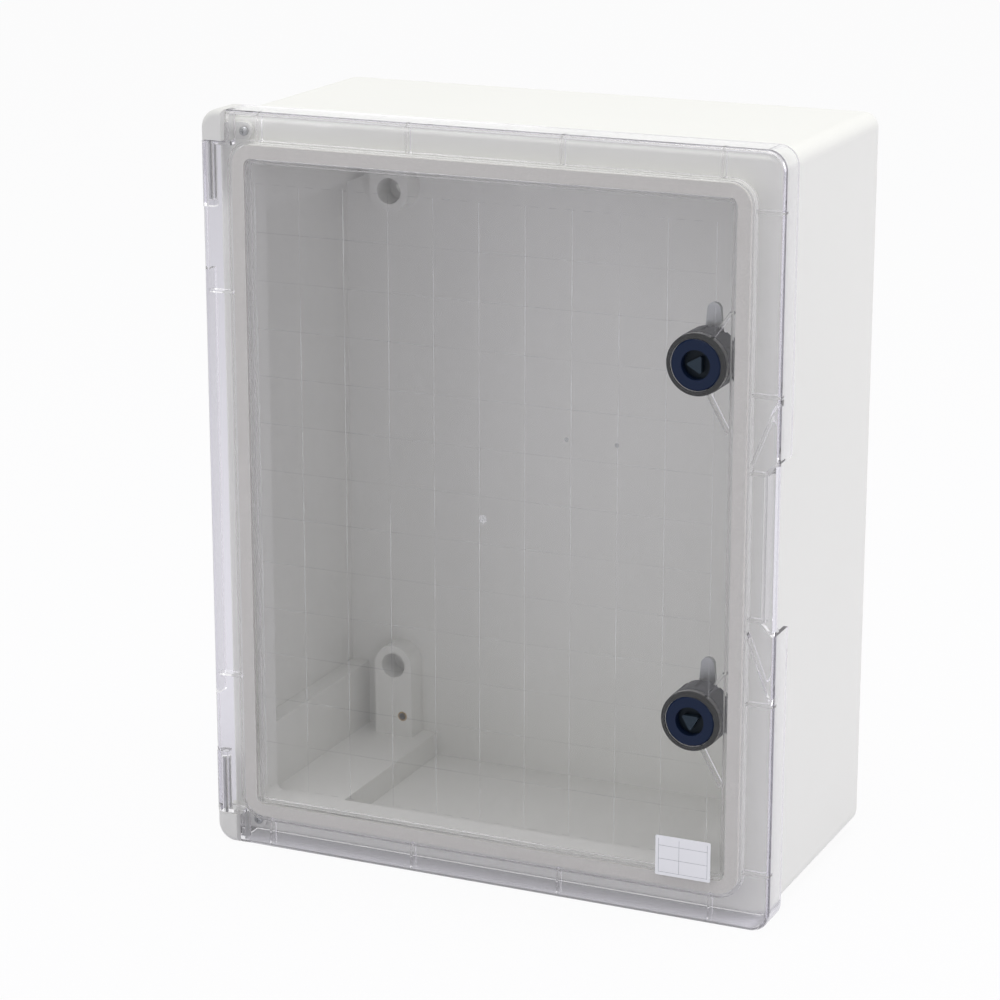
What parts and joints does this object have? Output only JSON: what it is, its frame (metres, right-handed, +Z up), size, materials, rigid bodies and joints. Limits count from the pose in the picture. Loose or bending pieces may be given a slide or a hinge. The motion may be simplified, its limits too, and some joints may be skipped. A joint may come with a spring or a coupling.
{
  "type": "distribution board enclosure",
  "caption": "Wall-mounted distribution board enclosure with a clear hinged door, quarter-turn key locks, gasket and corner fixing bosses.",
  "frame": {"origin": "centre of the wall fixing pattern, on the back plane that meets the wall", "axes": "+X to the right as seen from the front, +Y towards the wall, +Z up the enclosure's height"},
  "size_m": [0.396, 0.2002, 0.5],
  "materials": {
    "tub_moulding": "fine matt moulded light grey",
    "hinge_moulding": "fine matt moulded light grey",
    "clear_polycarbonate": "polished clear moulding",
    "foam_gasket": "closed-cell foam skin",
    "label_film": "satin label film",
    "lock_blue": "moulded dark blue nylon",
    "lock_core": "moulded slate nylon",
    "black_rubber": "smooth rubber",
    "zinc_steel": "zinc plated",
    "stainless_steel": "ground stainless",
    "insert_brass": "turned brass"
  },
  "bodies": {
    "enclosure": {"body_shell": "tub_moulding", "hinge_block_top": "hinge_moulding", "hinge_block_bottom": "hinge_moulding", "hinge_block_screws": "zinc_steel", "hinge_pin_top": "stainless_steel", "hinge_pin_bottom": "stainless_steel", "plate_inserts": "insert_brass"},
    "door": {"door_panel": "clear_polycarbonate", "door_gasket": "foam_gasket", "rating_label": "label_film", "upper_lock_housing": "lock_blue", "upper_lock_head_seal": "black_rubber", "upper_lock_nut": "lock_blue", "lower_lock_housing": "lock_blue", "lower_lock_head_seal": "black_rubber", "lower_lock_nut": "lock_blue"},
    "upper_lock_core": {"upper_lock_rotor": "lock_core", "upper_lock_rotor_seal": "black_rubber", "upper_lock_cam": "zinc_steel", "upper_lock_cam_washer": "zinc_steel", "upper_lock_cam_screw": "zinc_steel"},
    "lower_lock_core": {"lower_lock_rotor": "lock_core", "lower_lock_rotor_seal": "black_rubber", "lower_lock_cam": "zinc_steel", "lower_lock_cam_washer": "zinc_steel", "lower_lock_cam_screw": "zinc_steel"}
  },
  "joints": [
    {"name": "door_hinge", "type": "hinge", "parent": "enclosure", "child": "door", "pos_m": [-0.1935, -0.1925, 0], "axis": [0, 0, -1], "range_deg": [0, 180]},
    {"name": "upper_lock_turn", "type": "hinge", "parent": "door", "child": "upper_lock_core", "pos_m": [0.143, -0.18, 0.115], "axis": [0, 1, 0], "range_deg": [0, 90]},
    {"name": "lower_lock_turn", "type": "hinge", "parent": "door", "child": "lower_lock_core", "pos_m": [0.143, -0.18, -0.115], "axis": [0, 1, 0], "range_deg": [0, 90]}
  ]
}
